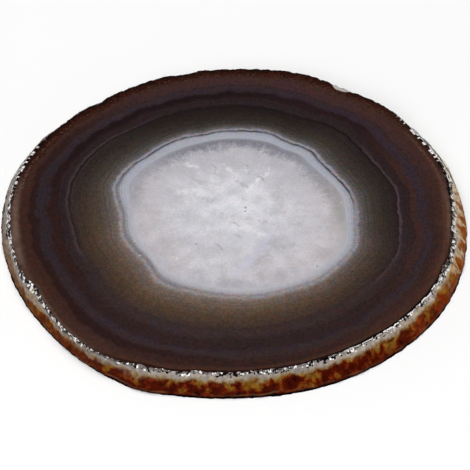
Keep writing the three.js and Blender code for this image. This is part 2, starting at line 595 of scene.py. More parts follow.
WAVERS = [  # blotch size in mm, the growth added or taken away, and the four growths where it works
    (5.0, 0.05, EVERYWHERE), (1.3, 0.025, EVERYWHERE), (1.8, 0.10, (1.3, 1.7, 2.1, 2.5)),
    (5.0, 0.26, (2.9, 3.3, 3.7, 3.88)), (1.6, 0.10, (2.6, 3.0, 3.75, 3.9)),
]


def within(stone, growth, first, full, still_full, last):
    """1 between the two middle growths, falling smoothly to 0 at the outer two."""
    return stone.times(stone.rise(growth, first, full), stone.rise(growth, last, still_full))


def plain_growth(stone):
    return stone.node("Attribute", attribute_name="growth").outputs["Fac"]


def wavering_growth(stone):
    """The growth, wavering as real layers do, and most in the outer bands."""
    plain = plain_growth(stone)
    growth = plain
    for seed, (size, amount, zone) in enumerate(WAVERS):
        waver = stone.math("SUBTRACT", stone.cloud(size, seed=seed), 0.5)
        growth = stone.plus(growth, stone.times(waver, within(stone, plain, *zone), amount))
    return growth


def by_growth(stone, growth, colours):
    """A ramp whose places are given as growth."""
    share = stone.math("DIVIDE", growth, EDGE_GROWTH)
    return stone.ramp(share, [(at / EDGE_GROWTH, code) for at, code in colours])


print("layers:", len(LAYERS))

# %% [markdown]
# Light that enters the crystals and glows through the brown round them is painted in, most on the front
# side, where the brown next to the core turns to honey. So a second, warmer ramp takes over there as
# painted glow. How much of it shows comes from the direction: the closer the point's direction is to
# the front, the more. Behind the core the brown gets no such light, and painted shade darkens it
# instead.

# %% The painted glow at the front of the core
PAINTED_GLOW_COLOURS = [
    (0.98, "#bab8bd"), (1.12, "#b4b2b9"), (1.40, "#abaab1"), (1.60, "#a39fa6"), (1.75, "#97939a"),
    (1.88, "#8e888d"), (2.00, "#888084"), (2.05, "#8d8486"), (2.08, "#887f7d"), (2.12, "#776b66"),
    (2.20, "#6a5b53"), (2.45, "#574639"), (2.65, "#49392d"), (2.85, "#3f302a"), (3.02, "#382c2c"),
]
PAINTED_GLOW_ZONE = (0.9, 1.0, 2.85, 3.05)  # four growths: start, full, still full and end
PAINTED_GLOW_SIDE = (255, 115)  # direction and half width
SHADE_ZONE = (2.12, 2.3, 2.9, 3.1)
SHADE_SIDE = (92, 52)
BACK_SHADE = 0.64  # how much of the brown's brightness is left at the back


def facing(stone, degrees, half_width):
    """1 in one direction from the pole, falling smoothly to 0 at half_width degrees from it."""
    turn = math.radians(degrees)
    towards = (math.cos(turn), math.sin(turn), 0)
    closeness = stone.vector("DOT_PRODUCT", stone.outwards, towards)
    return stone.rise(closeness, math.cos(math.radians(half_width)), 1.0)


# Painted glow: a warmer ramp laid over the brown where light through the crystals would brighten it.
def add_painted_glow(stone, growth, colour):
    honey = by_growth(stone, growth, PAINTED_GLOW_COLOURS)
    return stone.over(colour, honey, facing(stone, *PAINTED_GLOW_SIDE), within(stone, growth, *PAINTED_GLOW_ZONE))


def add_back_shade(stone, growth, colour):
    shaded = stone.scaled(colour, BACK_SHADE)
    return stone.over(colour, shaded, within(stone, growth, *SHADE_ZONE), facing(stone, *SHADE_SIDE))


print("honey colours:", len(PAINTED_GLOW_COLOURS))

# %% [markdown]
# No layer has the same colour all the way round. Each of these tints fills a band of growths on one
# side of the stone: warm reds at the right and the back, plainer browns in front, and near-black at
# the left, where the layers hold the most iron. Lines, skins and stains are laid on in the same way
# further down, as bands that are narrower or have more than one side.

# %% Tints on one side
TINTS = [  # four growths: start, full, still full, end; sides: direction, half width, strength; colour
    ((0.96, 1.01, 1.10, 1.30), [(0, 42, 0.6)], "#b2afb6"),
    ((1.45, 1.65, 1.80, 1.98), [(215, 45, 0.7)], "#8b8587"),
    ((1.55, 1.66, 1.76, 1.86), [(0, 40, 0.7)], "#94959d"),
    ((2.08, 2.11, 2.13, 2.18), [(0, 38, 0.6)], "#615a5b"),
    ((2.88, 2.98, 3.08, 3.22), [(275, 100, 0.9)], "#382a2a"),
    ((3.08, 3.20, 3.30, 3.42), [(275, 95, 0.8)], "#302221"),
    ((3.15, 3.24, 3.34, 3.40), [(0, 45, 0.9)], "#3b2623"),
    ((3.15, 3.24, 3.32, 3.40), [(190, 32, 0.6)], "#2f1b17"),
    ((3.18, 3.26, 3.34, 3.40), [(120, 60, 0.8)], "#1c0f12"),
    ((3.32, 3.36, 3.42, 3.48), [(25, 50, 0.6)], "#33262e"),
    ((3.34, 3.42, 3.50, 3.56), [(180, 50, 0.8)], "#2a2126"),
    ((3.38, 3.46, 3.56, 3.64), [(288, 60, 0.8)], "#352725"),
    ((3.51, 3.57, 3.65, 3.72), [(205, 90, 0.9)], "#271615"),
    ((3.52, 3.58, 3.70, 3.78), [(70, 75, 0.7)], "#422b2b"),
    ((3.66, 3.72, 3.80, 3.86), [(195, 42, 0.7)], "#372019"),
    ((3.66, 3.72, 3.80, 3.88), [(274, 42, 0.9)], "#2f1d1a"),
    ((3.74, 3.81, 3.90, 3.96), [(143, 26, 0.8)], "#33190f"),
    ((3.78, 3.84, 3.89, 3.94), [(0, 35, 0.9)], "#4e3228"),
]


def strongest(stone, sides):
    """The largest of several facing amounts, each times its strength."""
    best = None
    for degrees, half_width, strength in sides:
        here = stone.times(facing(stone, degrees, half_width), strength)
        best = here if best is None else stone.math("MAXIMUM", here, best)
    return best


def add_bands(stone, growth, colour, bands, *shares):
    """Bands of growth, or of depth on the rim, each on its own sides, and thinned by the shares."""
    for growths, sides, tint in bands:
        zone = within(stone, growth, *growths)
        colour = stone.over(colour, tint, zone, strongest(stone, sides), *shares)
    return colour


def add_tints(stone, growth, colour):
    return add_bands(stone, growth, colour, TINTS)


print("tints:", len(TINTS))

# %% [markdown]
# Thin lines follow the rings. The dark line is sharpest at the right back and fades to a mauve shade
# at the left front, and a pale line runs just outside it most of the way round. The seam is a pink
# line with a dark one just inside it. It shows best at the left and the right, and a second pink line
# runs inside it at the left. Each is drawn where the growth has its number, as strong as its
# direction says. A little noise breaks up the dark line and the seam.

# %% The thin lines
DARK = "#37353c"
SOFT_DARK = "#716d70"
PALE = "#918e96"
SEAM_PINK = "#4a3b3f"
SEAM_SHADE = "#160e0f"
DARK_SIDES = [(32, 36, 1.0), (70, 60, 0.9), (125, 55, 0.8), (197, 45, 0.25)]
SOFT_DARK_SIDES = [(222, 45, 0.5), (166, 22, 0.4), (75, 22, 0.25), (45, 18, 0.3)]
PALE_SIDES = [(42, 38, 1.0), (110, 60, 0.5), (160, 50, 0.75), (205, 50, 0.35)]
PINK_SIDES = [(3, 40, 1.0), (155, 45, 0.55), (188, 24, 0.6), (340, 25, 0.5)]
SEAM_SHADE_SIDES = [(50, 45, 1.0), (150, 45, 0.45), (350, 30, 0.45), (188, 15, 0.4)]
SOFT_LINES = [((1.62, 1.84, 1.98, 2.01), SOFT_DARK_SIDES, SOFT_DARK)]
DARK_LINES = [((1.86, 1.97, 2.01, 2.035), DARK_SIDES, DARK)]
PALE_LINES = [
    ((2.03, 2.055, 2.07, 2.10), PALE_SIDES, PALE),
    ((1.99, 2.015, 2.03, 2.06), [(330, 36, 0.5), (290, 30, 0.5)], PALE),
]
SEAM_LINES = [
    ((2.915, 2.94, 2.955, 2.975), SEAM_SHADE_SIDES, SEAM_SHADE),
    ((2.966, 2.985, 3.006, 3.026), PINK_SIDES, SEAM_PINK),
    ((2.875, 2.892, 2.905, 2.92), [(158, 32, 0.35)], SEAM_PINK),
]


def add_core_lines(stone, growth, colour):
    colour = add_bands(stone, growth, colour, SOFT_LINES)
    broken = stone.patchy(1.8, 0.25, 0.6, 0.6, 1.0, seed=13)
    colour = add_bands(stone, growth, colour, DARK_LINES, broken)
    return add_bands(stone, growth, colour, PALE_LINES)


def add_seam(stone, growth, colour):
    return add_bands(stone, growth, colour, SEAM_LINES, stone.patchy(3.0, 0.3, 0.6, 0.5, 1.0, seed=14))


print("thin lines:", sum(len(lines) for lines in (SOFT_LINES, DARK_LINES, PALE_LINES, SEAM_LINES)))

# %% [markdown]
# Between the core and the seam the layers are so fine that they look like brushed lines. Noise in
# one dimension, read along the growth, gives lines that follow the rings exactly. A soft cloud turns
# them up in some places and down in others, because in the stone too they come and go, and they are
# calmer in front. The stone is mottled as well: patches one or two millimetres across are a little
# redder, greener or more violet.

# %% Fine growth lines
LINES_PER_GROWTH = 23
LINE_STRENGTH = 0.16
VEIL_LINES = 9
VEIL_LINE_STRENGTH = 0.09
VEIL_ZONE = (1.02, 1.12, 1.88, 1.98)
CALM_SIDE = (262, 80)
CALM_SHARE = 0.4  # how much of the lines is left in the middle of the calm side
BLOTCH_SIZE = 7.0
MOTTLES = [  # size, seed, and the factors for red, green and blue between the patches and in them
    (1.3, 8, (1.10, 0.975, 0.94), (0.91, 1.015, 1.04)),
    (2.2, 17, (1.02, 1.0, 0.91), (0.98, 1.0, 1.09)),
    (0.8, 18, (0.96, 1.04, 0.95), (1.04, 0.965, 1.05)),
]
GRAIN_SIZE = 0.45
GRAIN = 0.22


def ring_lines(stone, growth, count, strength):
    """A factor near 1 that goes up and down as the growth rises, the same all along a ring."""
    sockets = {"W": growth, "Scale": count, "Detail": 2.0}
    lines = stone.node("TexNoise", sockets, noise_dimensions="1D").outputs[0]
    return stone.rise(lines, 0.3, 0.7, 1 - strength, 1 + strength)


def add_growth_lines(stone, growth, colour):
    outside_core = stone.rise(growth, 2.1, 2.25)
    inside_edge = stone.rise(growth, 3.9, 3.1, 0.35, 1.0)
    patchy = stone.patchy(BLOTCH_SIZE, 0.3, 0.65, 0.35, 1.0, seed=2)
    calmer_in_front = stone.rise(facing(stone, *CALM_SIDE), 0.0, 1.0, 1.0, CALM_SHARE)
    striped = stone.toned(colour, ring_lines(stone, growth, LINES_PER_GROWTH, LINE_STRENGTH))
    colour = stone.over(colour, striped, outside_core, inside_edge, patchy, calmer_in_front)
    veiled = stone.toned(colour, ring_lines(stone, growth, VEIL_LINES, VEIL_LINE_STRENGTH))
    return stone.over(colour, veiled, within(stone, growth, *VEIL_ZONE))


def mottled(stone, colour, size, seed, between, inside):
    patch = stone.patchy(size, 0.36, 0.64, detail=4, seed=seed)
    return stone.toned(colour, stone.blend(patch, (*between, 1), (*inside, 1)))


def add_mottling(stone, growth, colour):
    grain = stone.patchy(GRAIN_SIZE, 0.3, 0.7, 1 - GRAIN, 1 + GRAIN, seed=16)
    uneven = stone.toned(colour, grain)
    for mottle in MOTTLES:
        uneven = mottled(stone, uneven, *mottle)
    return stone.over(colour, uneven, stone.rise(growth, 1.2, 2.4, 0.25, 1.0))


print("fine lines from the core to the seam:", LINES_PER_GROWTH)

# %% [markdown]
# The core is quartz: crystals that grew inwards from the veil and met in the middle. Their tips show
# as grey, grainy teeth behind the veil at the back, and as a brownish ring at the right. Inside, the
# crystals are cloudy, with a bright heart, a little shade at the back and in front of the heart, and
# pink stains near the wall at both sides. Veins like feathers show where crystals meet, and there are
# a few little pits. A vein is drawn by its distance from a line between two points, in millimetres
# from the pole. The place is moved about by noise first, because nothing in the crystals runs
# straight.

# %% The quartz core
QUARTZ = [
    (0.00, "#d8d7dc"), (0.38, "#cdccd1"), (0.62, "#c4c2c7"), (0.85, "#bdbabe"), (1.00, "#b3b1b8"),
]
FIBRES_AROUND = 50
FIBRE_DEPTH = 0.06  # how far the fibres make the crystals lighter and darker
CLOUD_DEPTH = 0.11
CRYSTAL_GRAIN = 0.08
TINGES = (1.2, 19, (1.02, 0.99, 0.98), (0.98, 1.0, 1.02))  # faint mottles
QUARTZ_SHADES = [
    ((0.45, 0.80, 3.0, 4.0), [(85, 115, 0.5)], "#b3b1b8"),
    ((0.15, 0.35, 0.5, 0.7), [(285, 70, 0.35)], "#bbb9bf"),
]
PINK_STAINS = [((0.55, 0.90, 3.0, 4.0), [(190, 65, 0.4), (335, 65, 0.4)], "#c8bbbd")]
TEETH_AROUND = 160
TEETH_LENGTH = 0.045
TEETH_SIDES = [(88, 80, 1.0), (25, 40, 0.7), (150, 35, 0.5)]
TOOTH_GREY = "#7d7c86"
RING_BROWN = "#9d9b92"
RING_PINK = "#aba1a2"
RING_SIDE = (358, 42)
RING_STRENGTH = 0.55
VEINS = [  # from, to, width and how bright
    ((3.6, 6.6), (5.2, 9.3), 1.3, 0.75), ((5.2, 9.3), (7.0, 10.8), 0.6, 0.6),
    ((7.0, 10.8), (7.9, 13.6), 0.5, 0.55), ((2.2, 14.1), (3.2, 11.1), 0.5, 0.5),
    ((-0.8, 13.1), (0.7, 11.1), 0.6, 0.5), ((-1.8, 14.8), (-0.6, 12.4), 0.6, 0.4),
    ((3.9, 6.6), (3.0, 1.0), 2.0, 0.5), ((7.8, 5.0), (7.9, -1.0), 0.9, 0.3),
    ((1.0, -4.6), (6.8, -7.4), 1.7, 0.6), ((2.6, 1.0), (1.4, -3.6), 2.2, 0.45),
    ((-11.5, 5.8), (-7.6, 6.0), 1.6, 0.6), ((-7.6, 6.0), (-2.0, 2.6), 1.8, 0.35),
    ((-9.9, 14.6), (-8.3, 14.0), 1.1, 0.6), ((-5.0, -5.6), (0.0, -5.2), 1.3, 0.3),
    ((6.0, -8.0), (2.0, -15.5), 2.2, 0.4), ((-5.0, 10.4), (-3.4, 9.4), 1.3, 0.45),
]
SHADOWS = [  # the same, and how dark
    ((-0.3, -3.5), (1.8, -4.6), 0.5, 0.6), ((5.6, -3.0), (6.8, -3.6), 0.8, 0.4),
    ((0.4, -7.4), (1.7, -7.8), 0.8, 0.4), ((-3.6, -10.2), (-2.3, -11.6), 0.5, 0.5),
    ((-7.0, 3.6), (-3.4, 3.2), 1.4, 0.4), ((-8.6, 9.6), (-6.6, 8.6), 1.3, 0.3),
    ((8.2, -10.4), (3.5, -16.5), 4.5, 0.3), ((10.5, -10.7), (12.8, -10.5), 1.0, 0.4),
    ((9.6, 7.0), (9.6, -5.0), 2.2, 0.22), ((-3.0, -21.2), (1.0, -20.6), 2.2, 0.2),
    ((5.6, 10.4), (6.4, 9.8), 0.7, 0.6), ((-4.3, 14.6), (-3.4, 11.4), 0.6, 0.45),
    ((1.2, 8.8), (3.0, 7.6), 1.1, 0.4), ((2.2, 12.8), (2.9, 14.4), 0.5, 0.4),
    ((-2.0, -2.2), (3.0, -2.4), 2.6, 0.2),
]
VEIN_WHITE = "#e4e3e7"
SHADOW_GREY = "#8f8d94"
STREAK = [(8.0, -7.0), (6.5, -11.0), (4.5, -14.5), (2.0, -17.0), (0.8, -19.5)]
STREAK_WIDTH = 1.5
STREAK_STRENGTH = 0.5
STREAK_LILAC = "#c6c3d6"
# Pits get grey spots of painted shade for their hollows; glints are white specks of painted highlight
# where tiny crystals flash.
PITS = [((2.8, 0.85), 0.42), ((2.7, -0.2), 0.36), ((-7.7, -10.2), 0.3), ((17.8, -16.8), 0.35)]
GLINTS = [((-11.8, -14.5), 0.5), ((-21.8, 6.9), 0.3), ((17.4, -16.9), 0.3), ((23.6, 2.6), 0.3),
          ((-12.6, -14.0), 0.3), ((-20.9, -9.4), 0.3), ((-19.6, -13.6), 0.35)]
PIT_SHADE_GREY = "#77747a"
GLINT_WHITE = "#e8e7e2"


def near_line(stone, where, start, end, width):
    """1 where the place is on the line from start to end, falling to 0 at width from it."""
    along = Vector(end) - Vector(start)
    flat = stone.flat(stone.vector("SUBTRACT", where, (*start, 0)))
    reach = stone.vector("DOT_PRODUCT", flat, (*(along / along.length_squared), 0))
    share = stone.node("Clamp", {0: reach}).outputs[0]
    nearest = stone.scaled((*along, 0), share)
    gap = stone.vector("LENGTH", stone.vector("SUBTRACT", flat, nearest))
    return stone.rise(gap, width, 0.0)


def near_point(stone, centre, size):
    """1 at a point of the face, falling to 0 at size from it."""
    flat = stone.flat(stone.vector("SUBTRACT", stone.place, (*centre, 0)))
    return stone.rise(stone.vector("LENGTH", flat), size, 0.0)


def radial(stone, growth, count, stretch):
    """A place whose noise makes streaks that run from the pole outwards, count of them around."""
    around = stone.scaled(stone.outwards, count / math.tau)
    return stone.vector("ADD", around, stone.upright(stone.times(growth, stretch)))


def quartz_colour(stone, growth):
    colour = by_growth(stone, growth, QUARTZ)
    fibres = stone.cloud(1.0, detail=4, where=radial(stone, growth, FIBRES_AROUND, 2.0), seed=9)
    patterns = (
        (stone.rise(growth, 0.35, 0.8, 0.5, fibres), FIBRE_DEPTH),
        (stone.cloud(3.2, detail=6, seed=11), CLOUD_DEPTH),
        (stone.cloud(0.5, seed=15), CRYSTAL_GRAIN),
    )
    for pattern, depth in patterns:
        colour = stone.toned(colour, stone.rise(pattern, 0.3, 0.7, 1 - depth, 1 + depth))
    colour = mottled(stone, colour, *TINGES)
    colour = add_bands(stone, growth, colour, QUARTZ_SHADES)
    return add_bands(stone, growth, colour, PINK_STAINS, stone.patchy(2.0, 0.35, 0.65, seed=7))


def add_veins(stone, colour):
    """The veins and shadows, all broken up a little, and a lilac streak across the front."""
    crooked = stone.shaken(1.4, 3.0, seed=3)
    broken = stone.patchy(0.8, 0.35, 0.6, 0.25, 1.1, seed=5)
    for lines, tint in ((VEINS, VEIN_WHITE), (SHADOWS, SHADOW_GREY)):
        for start, end, width, strength in lines:
            line = near_line(stone, crooked, start, end, width)
            colour = stone.over(colour, tint, line, broken, strength)
    parts = [near_line(stone, crooked, *ends, STREAK_WIDTH) for ends in zip(STREAK, STREAK[1:])]
    return stone.over(colour, STREAK_LILAC, stone.math("MAXIMUM", *parts), STREAK_STRENGTH)


# Lays painted shade on the pits and painted highlights on the glints.
def add_pits_and_glints(stone, colour):
    for spots, tint, strength in ((PITS, PIT_SHADE_GREY, 1.0), (GLINTS, GLINT_WHITE, 0.5)):
        for centre, size in spots:
            colour = stone.over(colour, tint, near_point(stone, centre, size), strength)
    return colour


def add_teeth(stone, growth, colour):
    """Grey crystal tips behind the veil, at the back of the core, and a brownish ring at its right."""
    around = radial(stone, growth, TEETH_AROUND, 3.0)
    half = TEETH_LENGTH / 2
    longer = stone.patchy(1.0, 0.3, 0.7, -half, half, detail=5, where=around, seed=4)
    reach = stone.plus(growth, longer, stone.patchy(1.4, 0.35, 0.65, 0.0, 0.05, detail=5, seed=6))
    where = strongest(stone, TEETH_SIDES)
    colour = stone.over(colour, TOOTH_GREY, stone.rise(reach, 0.83, 1.0), where)
    ring_colour = stone.blend(stone.patchy(1.6, 0.4, 0.6, seed=35), RING_BROWN, RING_PINK)
    in_ring = stone.rise(reach, 0.84, 0.99)
    colour = stone.over(colour, ring_colour, in_ring, facing(stone, *RING_SIDE), RING_STRENGTH)
    grainy = stone.toned(colour, stone.patchy(0.45, 0.36, 0.64, 0.88, 1.12, seed=36))
    return stone.over(colour, grainy, stone.rise(growth, 0.72, 0.88), where)


print("veins:", len(VEINS), "shadows:", len(SHADOWS), "pits:", len(PITS))

# %% [markdown]
# The edge of the face has marks of its own. At the left and the right pale pinkish skins lie just
# inside it, where the stone is thin and light comes through, and in front a fine dark red line runs
# there instead. Round the back the outer layers are streaked across, and the outermost one is a nearly
# black crust with rust in it, whose inner edge is uneven. At the left and the right missing splinters
# leave black specks of painted shade, and further back on both sides white crystals like pearls, their
# white partly painted glint, stand between black gaps of painted shade. Every splinter and pearl gets a
# random number from a pattern of cells.

# %% The marks along the edge of the face
RIM_RADIUS = 48
PALE_SKIN = "#6b554b"
SKINS = [
    ((3.82, 3.85, 3.87, 3.90), [(154, 26, 0.5), (19, 17, 0.5)], PALE_SKIN),
    ((3.82, 3.91, 3.94, 4.02), [(180, 24, 0.85)], PALE_SKIN),
    ((3.87, 3.93, 3.95, 4.02), [(194, 14, 0.5)], PALE_SKIN),
    ((3.86, 3.92, 3.94, 4.00), [(2, 17, 0.6)], PALE_SKIN),
    ((3.92, 3.96, 4.00, 4.02), [(222, 22, 0.5)], PALE_SKIN),
]
RED_LINES = [((3.93, 3.95, 3.99, 4.01), [(268, 45, 1.0)], "#260d09")]
CRUST_SIDES = [(75, 60, 1.0), (120, 55, 1.0), (148, 32, 1.0), (30, 30, 0.5)]
THIN_CRUST_SIDE = (45, 35)
BACK_CRUST = "#250b05"
CRUST_EDGE = "#140604"
RUST_SPOT = "#421a0c"
STREAKS_AROUND = 380
CHIP_COLOUR = "#b5aca6"
SPECK_LENGTH = 0.44
SPECK_HEIGHT = 0.36
PEARL_SIZE = 0.62
# Black specks and gaps are painted shade in chipped hollows; the white is white crystal with painted
# glint.
SHADE_SPECK_BLACK = "#090606"
CRYSTAL_AND_GLINT_WHITE = "#f0edeb"
SHADE_SPECK_SIDES = [(218, 45, 0.1), (24, 40, 0.35), (345, 25, 0.5), (150, 45, 0.5)]
SHADED_GAP_SIDES = [(18, 28, 1.0), (162, 22, 1.0)]
GLINTING_PEARL_SIDES = [(27, 15, 1.0), (163, 12, 1.0)]
# Where a dark line of painted shade runs along the edge.
EDGE_SHADE_SIDE = (314, 40)


def along_rim(stone, around, down):
    """A place whose noise is this many millimetres wide along the rim and high down it."""
    turn = stone.scaled(stone.outwards, RIM_RADIUS / around)
    return stone.vector("ADD", turn, stone.upright(stone.math("DIVIDE", stone.height, down)))


def splinters(stone):
    """A random number for each splinter along the edge."""
    return stone.cells(along_rim(stone, SPECK_LENGTH, SPECK_HEIGHT), seed=6)


def glinting_pearls_and_shaded_gaps(stone):
    """Where the white pearls of the chain along the edge are, white crystal with painted glint, and the
    black gaps of painted shade between them.
    """
    number = stone.cells(along_rim(stone, PEARL_SIZE, PEARL_SIZE), seed=8)
    return stone.rise(number, 0.7, 0.74), stone.rise(number, 0.48, 0.44)


def add_skins(stone, growth, colour):
    cloudy = stone.patchy(1.5, 0.35, 0.6, 0.5, 1.0, detail=4, seed=28)
    colour = add_bands(stone, growth, colour, SKINS, cloudy)
    return add_bands(stone, growth, colour, RED_LINES)


def add_crust(stone, growth, colour):
    """Streaks across the outer layers at the back, and the crust outside them."""
    at_back = strongest(stone, CRUST_SIDES)
    across = radial(stone, growth, STREAKS_AROUND, 3.0)
    streaked = stone.toned(colour, stone.patchy(1.0, 0.35, 0.65, 0.75, 1.3, where=across, seed=27))
    strength = stone.rise(at_back, 0.0, 1.0, 0.05, 0.45)
    colour = stone.over(colour, streaked, stone.rise(growth, 3.66, 3.85), strength)
    ragged = stone.patchy(0.55, 0.35, 0.65, -0.06, 0.06, detail=4, seed=33)
    thinner = stone.times(facing(stone, *THIN_CRUST_SIDE), -0.03)
    reach = stone.plus(growth, ragged, thinner)
    crust = stone.times(stone.rise(reach, 3.80, 3.88), at_back)
    colour = stone.over(colour, BACK_CRUST, crust)
    colour = stone.over(colour, RUST_SPOT, stone.patchy(0.6, 0.5, 0.62, seed=12), crust)
    return stone.over(colour, CRUST_EDGE, stone.rise(reach, 3.93, 3.96), at_back)


def add_chip(stone, growth, colour):
    in_chip = facing(stone, CHIP_AT, CHIP_HALF_WIDTH)
    reach = stone.plus(growth, stone.times(in_chip, 0.08))
    return stone.over(colour, CHIP_COLOUR, stone.rise(reach, 3.99, 4.01), stone.rise(in_chip, 0.0, 0.3))


def add_edge_glints_and_shade(stone, growth, colour):
    """Black specks and gaps of painted shade, white pearls of crystal with painted glint on the edge,
    and a dark line of painted shade there at the right front.
    """
    missing = stone.rise(splinters(stone), 0.5, 0.46)
    near_edge = stone.rise(growth, 3.93, 3.97)
    colour = stone.over(colour, SHADE_SPECK_BLACK, missing, near_edge, strongest(stone, SHADE_SPECK_SIDES))
    pearl, gap = glinting_pearls_and_shaded_gaps(stone)
    outermost = stone.rise(growth, 3.95, 3.97)
    colour = stone.over(colour, SHADE_SPECK_BLACK, gap, outermost, strongest(stone, SHADED_GAP_SIDES))
    colour = stone.over(colour, CRYSTAL_AND_GLINT_WHITE, pearl, outermost, strongest(stone, GLINTING_PEARL_SIDES))
    in_edge_shade = stone.rise(growth, 3.94, 3.955)
    return stone.over(colour, SHADE_SPECK_BLACK, in_edge_shade, facing(stone, *EDGE_SHADE_SIDE))


print("skins:", len(SKINS))

# %% [markdown]
# Now the coats of the face go on in order, as the stone itself has them: light and tint first, then
# lines and mottling, and last the marks of the edge. The quartz is painted by itself and laid in
# inside the veil. The polished face is glass-smooth: agate has an index of refraction of 1.54, and
# the wheel leaves a roughness near 0.1. The quartz takes the polish a little less well than the
# brown, so the growth also lifts the roughness inside the veil.

# %% The polished face
FACE_COATS = [
    add_painted_glow, add_back_shade, add_tints, add_core_lines, add_growth_lines, add_mottling, add_seam,
    add_skins, add_crust, add_chip, add_edge_glints_and_shade,
]
AGATE_IOR = 1.54
POLISH = 0.12
QUARTZ_POLISH = 0.2


def face_colour(stone):
    """All of the polished face's colour, from the quartz out to the edge."""
    growth = wavering_growth(stone)
    colour = by_growth(stone, growth, LAYERS)
    for add_coat in FACE_COATS:
        colour = add_coat(stone, growth, colour)
    quartz = add_teeth(stone, growth, add_veins(stone, quartz_colour(stone, growth)))
    inside_veil = stone.rise(growth, 1.04, 0.96)
    return add_pits_and_glints(stone, stone.over(colour, quartz, inside_veil))


def polished_face():
    stone = Recipe("polished_face")
    roughness = stone.rise(plain_growth(stone), 1.1, 0.9, POLISH, QUARTZ_POLISH)
    return stone.finished(face_colour(stone), roughness, AGATE_IOR)


slab.data.materials.append(polished_face())
print("slot 0:", slab.data.materials[0].name)

# %% [markdown]
# The rim is the nodule's own rind. From the top down it shows four zones: a broken white edge with
# black specks of painted shade and white specks that are white crystal and painted glint, a pale
# translucent layer, amber and gold, and rust-red blotches towards the foot. The zones aren't straight,
# so noise is added to the height before it is read. At the left and the right back the rind stays pale
# down to the foot, at the right it is cream with gold streaks under a painted warm light, and in front
# paler bands run under the specks. At the back the dark crust comes up to the edge. The foot keeps a
# thin tan skin and a dark line of painted shade where it meets the table, and at both sides a second
# line of painted shade runs where the rim bulges most.

# %% The rind round the rim
RIND = [  # share of the way down, and colour
    (0.00, "#6d6665"), (0.10, "#7f7877"), (0.20, "#8b8179"), (0.29, "#866f4a"), (0.38, "#78551f"),
    (0.60, "#6b4310"), (0.80, "#5c320c"), (1.00, "#47220a"),
]
AMBER = "#75480a"
STAINS = [  # where in the noise each stain starts and is full, and its colour
    (0.37, 0.46, "#5c1804"), (0.44, 0.53, "#3f0b01"), (0.59, 0.69, "#200200"),
]
STAIN_SIDES = [(280, 75, 1.0), (225, 35, 0.5), (350, 50, 0.5), (95, 95, 0.9)]
ORANGE = "#6c2605"
ORANGE_SIDE = (332, 18)
CREAM = "#b0a48f"
GOLD = "#7d4107"
CREAM_SIDE = (358, 26)
CREAM_STRENGTH = 0.9
# Painted warm light: the rind at the right is brightened and warmed by these factors.
PAINTED_WARM_LIGHT = (1.28, 1.16, 0.95)
PAINTED_WARM_LIGHT_SIDE = (347, 40)
# Where a painted highlight runs under the polished edge.
EDGE_HIGHLIGHT_SIDE = (318, 24)
BACK_SIDE = (98, 85)
PALE_PATCHES = [  # direction, half width, how pale the rind stays, and its colours down the rim
    (175, 36, 0.8, "#8f8784", "#6b523a"), (168, 20, 0.8, "#98928e", "#867c73"),
    (24, 24, 1.0, "#ded7d0", "#e0d8ca"),
]
PALE_BANDS = [((0.04, 0.10, 0.16, 0.32), [(265, 26, 0.35), (315, 34, 0.6), (348, 32, 1.0)], "#b4a799")]
LEFT_BANDS = [((0.10, 0.30, 0.36, 0.52), [(220, 32, 1.0)], "#8b8178")]
CHAIN_SIDES = [(18, 30, 1.0), (172, 36, 1.0), (212, 34, 0.75), (345, 22, 0.8)]
LONG_CHAIN_SIDES = [(24, 22, 1.0), (174, 30, 1.0)]  # here the chain runs further down the rim
FOOT_SKIN = "#7a6040"
FOOT_SHADE = "#020101"
BULGES = [(12, 14, 0.1), (29, 20, 0.5), (168, 24, 0.12)]  # and how far up the rim the bulge lies
# Lines of painted shade where the rim bulges most and turns under.
BULGE_SHADE_LINES = [((0.87, 0.91, 0.97, 1.01), [(18, 24, 1.5), (168, 24, 1.0)], "#1a110c")]
RIND_ROUGHNESS = (0.35, 0.55)  # of the crystal at the top, and of the rind below it
RIND_SHINE = 0.02


def rind_depth(stone):
    """The share of the way from the face's edge down to the foot, plain and wavering."""
    depth = stone.math("DIVIDE", stone.math("SUBTRACT", thickness, stone.height), thickness)
    waver = stone.math("SUBTRACT", stone.cloud(1.8, detail=5, seed=20), 0.5)
    return depth, stone.plus(depth, stone.times(waver, 0.5))


def add_stains(stone, depth, colour):
    """Amber and rust-red stains in the lower rind, the reds more and deeper towards the foot."""
    low = stone.rise(depth, 0.26, 0.42)
    amber = stone.patchy(1.0, 0.52, 0.66, where=along_rim(stone, 1.1, 1.0), seed=23)
    colour = stone.over(colour, AMBER, amber, low)
    where = strongest(stone, STAIN_SIDES)
    patches = stone.cloud(1.0, detail=2.5, where=along_rim(stone, 2.2, 1.7), seed=21)
    patches = stone.plus(patches, stone.times(stone.math("SUBTRACT", depth, 0.6), 0.2))
    for start, full, stain in STAINS:
        colour = stone.over(colour, stain, stone.rise(patches, start, full), low, where)
    return colour


def colour_right(stone, depth, colour):
    """Orange-red at the right front, at the right cream with gold streaks that run down, and painted
    warm light over the right.
    """
    patches = stone.patchy(1.0, 0.44, 0.6, where=along_rim(stone, 2.4, 2.2), seed=25)
    low = stone.rise(depth, 0.3, 0.45)
    colour = stone.over(colour, ORANGE, patches, low, facing(stone, *ORANGE_SIDE))
    streaks = stone.cloud(1.0, detail=4, where=along_rim(stone, 1.1, 3.0), seed=24)
    lower = stone.plus(streaks, stone.times(stone.math("SUBTRACT", depth, 0.5), 0.35))
    golden = stone.blend(stone.rise(lower, 0.40, 0.53), CREAM, GOLD)
    below_edge = stone.rise(depth, 0.12, 0.4)
    colour = stone.over(colour, golden, below_edge, facing(stone, *CREAM_SIDE), CREAM_STRENGTH)
    return stone.over(colour, stone.toned(colour, PAINTED_WARM_LIGHT), facing(stone, *PAINTED_WARM_LIGHT_SIDE))


